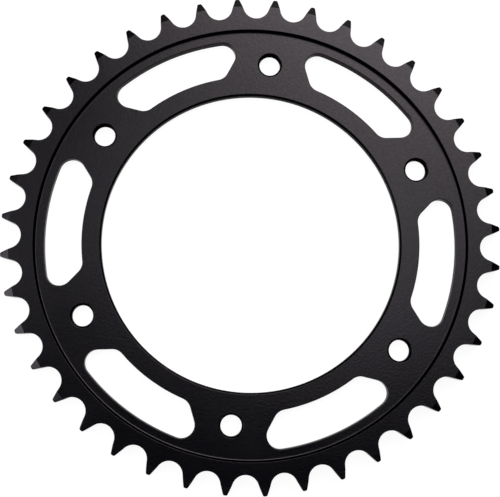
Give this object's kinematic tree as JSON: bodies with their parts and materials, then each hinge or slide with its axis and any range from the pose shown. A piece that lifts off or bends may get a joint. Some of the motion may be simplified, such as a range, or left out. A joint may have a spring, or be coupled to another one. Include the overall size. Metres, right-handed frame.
{
  "type": "rear chain sprocket",
  "caption": "Flat toothed steel ring for a motorcycle's rear wheel: bevelled teeth, recessed centre plate, large bore, bolt holes and curved slots, in satin black.",
  "frame": {"origin": "on the bore axis at the flat back face that sits on the hub", "axes": "+Z along the bore axis, out of the recessed front face; +Y towards the first bolt hole; +X across"},
  "size_m": [0.2088, 0.2088, 0.0072],
  "materials": {
    "black_steel": "satin black coating on steel"
  },
  "bodies": {
    "root": {"sprocket": "black_steel"}
  },
  "joints": []
}
